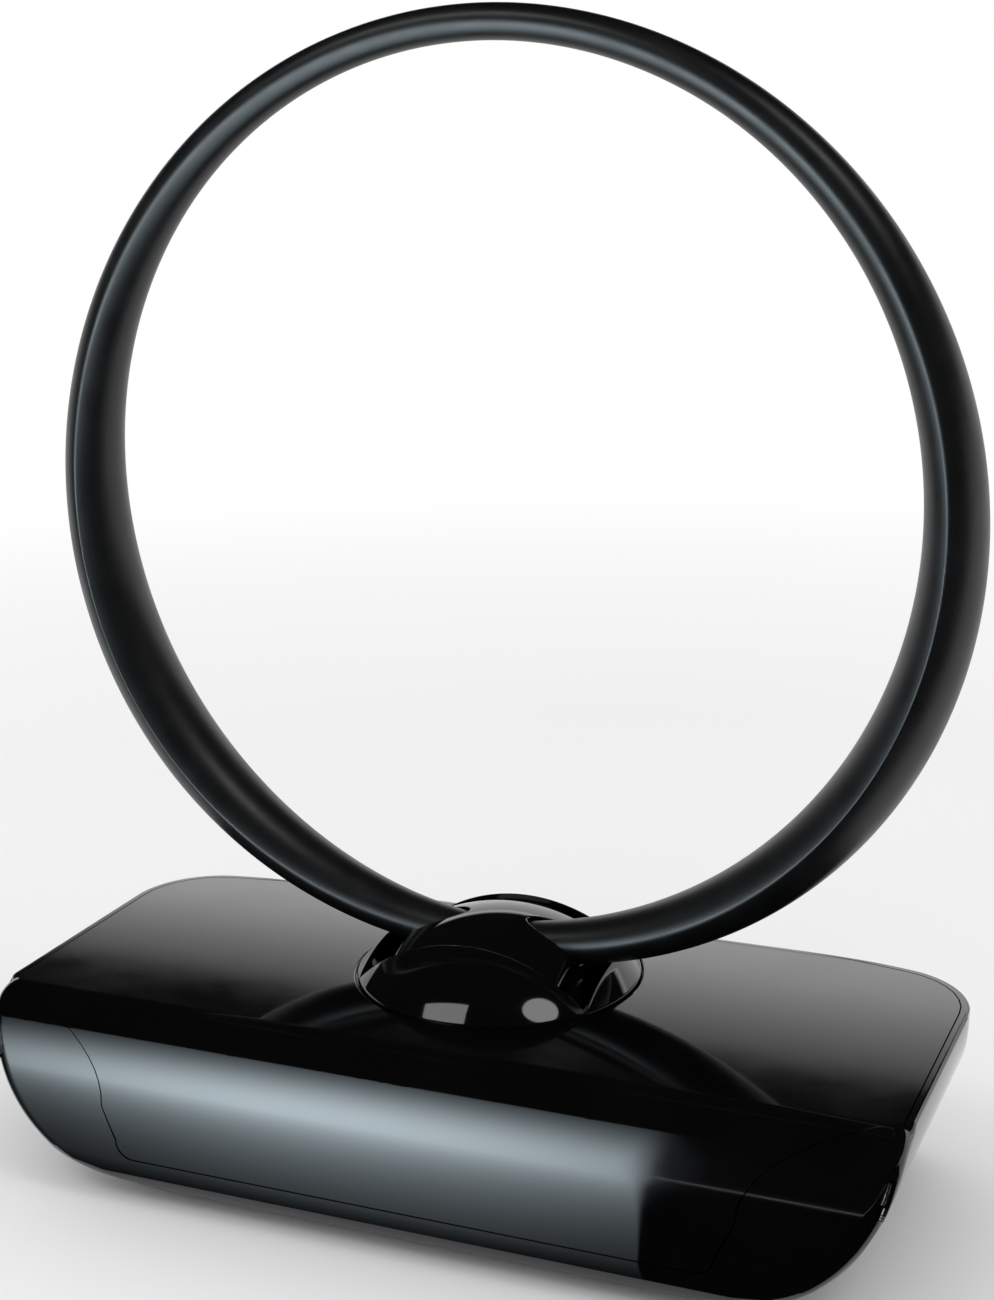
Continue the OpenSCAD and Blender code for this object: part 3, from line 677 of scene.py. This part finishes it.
def section(a, psi):
    """Points [outward, y] of the casing's outside at angle a, for the directions psi that face out."""
    m = swell(a)
    w = CROWN_R + stem(a) + SWELL_W * m
    d = CROWN_D + stem(a) + SWELL_D * m
    c, s = np.cos(psi), np.sin(psi)
    length = np.sqrt((w * c) ** 2 + (d * s) ** 2)
    oval = np.stack([w * w * c / length, d * d * s / length], -1)
    wi, di = w - RIDGE_R, d - RIDGE_R
    big = (wi * wi + di * di) / (2.0 * wi)
    tip = np.arcsin(np.clip(di / big, -1.0, 1.0))
    side = np.sign(c)
    on_arc = np.abs(s) < np.sin(tip)
    x = np.where(on_arc, side * (wi - big) + big * c, 0.0)
    y = np.where(on_arc, big * s, np.sign(s) * di)
    lens = np.stack([x + RIDGE_R * c, y + RIDGE_R * s], -1)
    m = np.broadcast_to(m, lens.shape[:-1])[..., None]
    return (1.0 - m) * oval + m * lens


def loop_surface(a, psi):
    p = section(a, psi)
    reach = LOOP_R + p[..., 0]
    return np.stack([reach * np.sin(a), HUB_Y + p[..., 1], LOOP_Z + reach * np.cos(a)], -1)


def loop_half(name, node, side):
    """One half of the loop's casing, front (side -1) or rear (side 1), whose open edges lie on the parting
    plane.
    """
    last = math.pi - math.asin(CASING_GAP_X / LOOP_R)
    rounds = 512
    quarter = np.radians(np.concatenate([np.linspace(0, 60, 21), np.linspace(62, 90, 29)]))
    psi = side * np.concatenate([quarter, math.pi - quarter[-2::-1]])
    a = np.linspace(-last, last, rounds + 1)
    aa, pp = np.meshgrid(a, psi, indexing="ij")
    points = loop_surface(aa, pp)
    step = 1e-4
    along = loop_surface(aa + step, pp) - loop_surface(aa - step, pp)
    across = np.stack([-np.sin(pp) * np.sin(aa), np.cos(pp), -np.sin(pp) * np.cos(aa)], -1)
    normals = np.cross(along, across)
    normals /= np.linalg.norm(normals, axis=-1, keepdims=True)
    out = np.stack([np.cos(pp) * np.sin(aa), np.sin(pp), np.cos(pp) * np.cos(aa)], -1)
    normals *= np.sign((normals * out).sum(-1, keepdims=True))
    n = len(psi)
    skin = [[i * n + j, (i + 1) * n + j, (i + 1) * n + j + 1, i * n + j + 1]
            for i in range(rounds) for j in range(n - 1)]
    if side < 0:
        skin = [f[::-1] for f in skin]
    mesh = smooth_mesh(name, points.reshape(-1, 3), skin)
    mesh.normals_split_custom_set_from_vertices(normals.reshape(-1, 3).tolist())
    dressed(name, mesh, "satin_black", "loop", [node])


loop_half("loop_casing_front", "loop_front_shell", -1.0)
loop_half("loop_casing_rear", "loop_rear_shell", 1.0)


# Floor, studio and camera, in metres. The levels say how bright what the gloss reflects is, 1 for white
FLOOR_REACH = 6.0
FLOOR_FADE = (0.35, 0.8)
CARD_START = -0.048
CARD_REACH = 4.6
CARD_Z = 0.0005
PANEL_Y = -1.2
PANEL_LOW = 0.001
PANEL_H = 0.36
PANEL_MID = 0.03
PANEL_FALL = 0.225
PANEL_LEVEL = 10.0
PANEL_COLOUR = (0.85, 1.0, 1.08)
GLOW_START = -0.047
GLOW_RISE = 0.24
GLOW_SLANT = 0.48
GLOW_SHIFT = -0.01
GLOW_WIDTH = (0.075, 0.25)
GLOW_EDGE_X = 0.05
GLOW_EDGE_SLANT = (0.292, 0.308)
WALL_Y = 2.5
WALL_SLOPES = (0.36, 0.505)
WALL_PEAK = 2.0
WALL_GLOW = [(0.36, 1.0), (0.42, 1.9), (0.44, 1.6), (0.46, 1.05), (0.48, 0.65), (0.49, 0.45),
             (0.4975, 0.12), (0.503, 0.0)]
CEILING_R = 4.3
CEILING_SLOPE = 0.5
SIDE_EDGE = 8.0
FRONT_EDGE = -1.0
EDGE_BLEND = 3.0
SOFTBOX_LEVEL = 3.0
# Each softbox: its name, place, the direction of its width, its width and height, and its shape
SOFTBOXES = [
    ("softbox_left", (-0.46, -0.61, 0.98), (0.92, -0.17, 0.35), 0.58, 0.30, "RECTANGLE"),
    ("softbox_right", (0.62, -0.22, 1.06), (0.69, 0.67, -0.27), 0.46, 0.33, "ELLIPSE"),
]


def stage_mesh(name, points, faces):
    mesh = bpy.data.meshes.new(name)
    mesh.from_pydata(points, [], faces)
    made = placed(name, mesh)
    return made


def flat_sheet(name, left, right, front, back, z):
    corners = [(left, front, z), (right, front, z), (right, back, z), (left, back, z)]
    return stage_mesh(name, corners, [(0, 1, 2, 3)])


def upright_sheet(name, left, right, y, low, high):
    corners = [(left, y, low), (right, y, low), (right, y, high), (left, y, high)]
    return stage_mesh(name, corners, [(0, 1, 2, 3)])


def floor():
    """White paper, lit and shadowed round the object, that fades into the white surround further out."""
    made = flat_sheet("floor", -FLOOR_REACH, FLOOR_REACH, -FLOOR_REACH, FLOOR_REACH, 0.0)
    m = Nodes("floor_paper")
    m.set(Roughness=0.9, Specular_IOR_Level=0.1)
    m.use(Base_Color=m.shade(m.noise(3.0), (0.79, 0.79, 0.79), (0.81, 0.81, 0.81)))
    away = m.tree.nodes.new("ShaderNodeVectorMath")
    away.operation = "LENGTH"
    m.link(m.place, away.inputs[0])
    white = m.tree.nodes.new("ShaderNodeEmission")
    mix = m.tree.nodes.new("ShaderNodeMixShader")
    m.link(m.spread(away.outputs["Value"], 0.0, 1.0, *FLOOR_FADE), mix.inputs["Fac"])
    m.link(m.shader.outputs["BSDF"], mix.inputs[1])
    m.link(white.outputs["Emission"], mix.inputs[2])
    m.link(mix.outputs["Shader"], m.output.inputs["Surface"])
    made.data.materials.append(m.material)


def shining(name, level, colour, make_share):
    """A cloth that shines by itself, level times the share that make_share works out from its place."""
    m = Nodes(name)
    shine = m.tree.nodes.new("ShaderNodeEmission")
    parts = m.tree.nodes.new("ShaderNodeSeparateXYZ")
    m.link(m.place, parts.inputs["Vector"])
    share = make_share(m, parts.outputs["X"], parts.outputs["Y"], parts.outputs["Z"])
    m.link(m.math("MULTIPLY", share, level), shine.inputs["Strength"])
    shine.inputs["Color"].default_value = (*colour, 1.0)
    m.link(shine.outputs["Emission"], m.output.inputs["Surface"])
    m.tree.nodes.remove(m.shader)
    return m.material


def hump(m, offset, width):
    """A bell curve: 1 where the offset is none, and less further out."""
    ratio = m.math("DIVIDE", offset, width)
    return m.math("EXPONENT", m.math("MULTIPLY", m.math("MULTIPLY", ratio, ratio), -1.0))


def across_glow(m, x, y):
    """Share of the panel's brightness across its width, and nothing past its right edge."""
    ahead = m.math("SUBTRACT", GLOW_START, y)
    middle = m.math("MULTIPLY_ADD", ahead, -GLOW_SLANT, GLOW_SHIFT)
    width = m.math("MULTIPLY_ADD", ahead, GLOW_WIDTH[1], GLOW_WIDTH[0])
    slant = m.math("DIVIDE", m.math("SUBTRACT", GLOW_EDGE_X, x), m.math("MAXIMUM", ahead, 1e-4))
    inside = m.spread(slant, 0.0, 1.0, *GLOW_EDGE_SLANT)
    return m.math("MULTIPLY", hump(m, m.math("SUBTRACT", x, middle), width), inside)


def panel_share(m, x, y, z):
    """The panel's brightness: most at one height, and less above and below."""
    return m.math("MULTIPLY", hump(m, m.math("SUBTRACT", z, PANEL_MID), PANEL_FALL), across_glow(m, x, y))


def card_share(m, x, y, z):
    """The card's brightness: none at the base, and more further out."""
    ahead = m.math("SUBTRACT", GLOW_START, y)
    decay = m.math("EXPONENT", m.math("DIVIDE", ahead, -GLOW_RISE))
    return m.math("MULTIPLY", m.math("SUBTRACT", 1.0, decay), across_glow(m, x, y))


def wall_share(m, x, y, z):
    """The wall's brightness by height, as a share of its peak."""
    ramp = m.tree.nodes.new("ShaderNodeValToRGB")
    low, high = WALL_SLOPES
    while len(ramp.color_ramp.elements) < len(WALL_GLOW):
        ramp.color_ramp.elements.new(1.0)
    for element, (slope_at, level) in zip(ramp.color_ramp.elements, WALL_GLOW):
        element.position = (slope_at - low) / (high - low)
        element.color = (level / WALL_PEAK, level / WALL_PEAK, level / WALL_PEAK, 1.0)
    m.link(m.spread(z, 0.0, 1.0, WALL_Y * low, WALL_Y * high), ramp.inputs["Fac"])
    return ramp.outputs["Color"]


def only_in_gloss(made):
    """Hides a lit sheet from the camera and from matt surfaces, and takes its shadow away."""
    made.visible_camera = False
    made.visible_diffuse = False
    made.visible_shadow = False


def front_light():
    """Wide soft panel in front to the left, with the card on the table that carries its glow to the base."""
    left, right = -CARD_REACH, GLOW_EDGE_X + GLOW_EDGE_SLANT[0] * (PANEL_Y - GLOW_START)
    panel = upright_sheet("front_panel", left, right, PANEL_Y, PANEL_LOW, PANEL_H)
    panel.data.materials.append(shining("panel_cloth", PANEL_LEVEL, PANEL_COLOUR, panel_share))
    card = flat_sheet("front_card", -CARD_REACH, CARD_REACH, -CARD_REACH, CARD_START, CARD_Z)
    card.data.materials.append(shining("card_cloth", PANEL_LEVEL, PANEL_COLOUR, card_share))
    only_in_gloss(panel)
    only_in_gloss(card)


def rear_wall():
    """Band of the wall behind, which fades from white to dark towards its top."""
    low, high = (WALL_Y * slope_at for slope_at in WALL_SLOPES)
    made = upright_sheet("rear_wall", -CARD_REACH, CARD_REACH, WALL_Y, low, high)
    made.location.z = BASE_TOP * MM
    made.data.materials.append(shining("wall_cloth", WALL_PEAK, (1.0, 1.0, 1.0), wall_share))
    only_in_gloss(made)


def canopy():
    """Dark ceiling, open low behind the object and closed down to the table in front."""
    rings, turns = 24, 144
    points = []
    for i in range(rings + 1):
        for k in range(turns):
            t = 2 * math.pi * k / turns
            behind = math.degrees(math.atan(CEILING_SLOPE * max(math.sin(t), 0.0)))
            ahead = min(max(-EDGE_BLEND * math.sin(t), 0.0), 1.0)
            low = max(behind, SIDE_EDGE + (FRONT_EDGE - SIDE_EDGE) * ahead)
            e = math.radians(low + (90.0 - low) * i / rings)
            out = CEILING_R * math.cos(e)
            points.append((out * math.cos(t), out * math.sin(t), CEILING_R * math.sin(e)))
    faces = []
    for i in range(rings):
        low_row, high_row = i * turns, (i + 1) * turns
        faces += [(low_row + k, low_row + (k + 1) % turns, high_row + (k + 1) % turns, high_row + k)
                  for k in range(turns)]
    made = stage_mesh("dark_ceiling", points, faces)
    made.location.z = BASE_TOP * MM
    m = Nodes("ceiling_cloth")
    m.set(Roughness=1.0, Specular_IOR_Level=0.0)
    m.use(Base_Color=m.shade(m.noise(2.0), (0.008, 0.008, 0.009), (0.012, 0.012, 0.013)))
    made.data.materials.append(m.material)
    made.visible_camera = False
    made.visible_diffuse = False


def lamp(name, place, across, width, height, shape):
    """A softbox turned to the base, with its width along across. The base itself doesn't reflect it."""
    light = bpy.data.lights.new(name, "AREA")
    light.shape = shape
    light.size = width
    light.size_y = height
    light.energy = SOFTBOX_LEVEL * math.pi * width * height
    made = placed(name, light)
    away = (Vector(place) - Vector((0.0, 0.0, BASE_TOP * MM))).normalized()
    up = away.cross(Vector(across)).normalized()
    side = up.cross(away)
    made.matrix_world = Matrix.Translation(place) @ Matrix((side, up, away)).transposed().to_4x4()
    made.visible_camera = False
    barred = bpy.data.collections.new(name + "_barred")
    made.light_linking.receiver_collection = barred
    for part in ("base_shell", "base_cover"):
        barred.objects.link(bpy.data.objects[part])
    for entry in barred.collection_objects:
        entry.light_linking.link_state = "EXCLUDE"


def studio():
    world = bpy.data.worlds.new("white_surround")
    world.use_nodes = True
    world.node_tree.nodes["Background"].inputs["Color"].default_value = (1.0, 1.0, 1.0, 1.0)
    world.node_tree.nodes["Background"].inputs["Strength"].default_value = 1.0
    bpy.context.scene.world = world
    for softbox in SOFTBOXES:
        lamp(*softbox)


def camera():
    level = math.cos(ELEVATION)
    back = Vector((math.sin(YAW) * level, -math.cos(YAW) * level, math.sin(ELEVATION)))
    data = bpy.data.cameras.new("camera")
    data.lens = LENS
    data.sensor_width = SENSOR
    data.sensor_fit = "AUTO"
    data.clip_start = 0.01
    data.clip_end = 50.0
    made = placed("camera", data)
    made.rotation_mode = "QUATERNION"
    turn = (-back).to_track_quat("-Z", "Y") @ Matrix.Rotation(ROLL, 4, "Z").to_quaternion()
    made.rotation_quaternion = turn
    made.location = TARGET + back * DISTANCE
    bpy.context.scene.camera = made


floor()
canopy()
rear_wall()
front_light()
studio()
camera()
bpy.context.scene.view_settings.view_transform = "Standard"
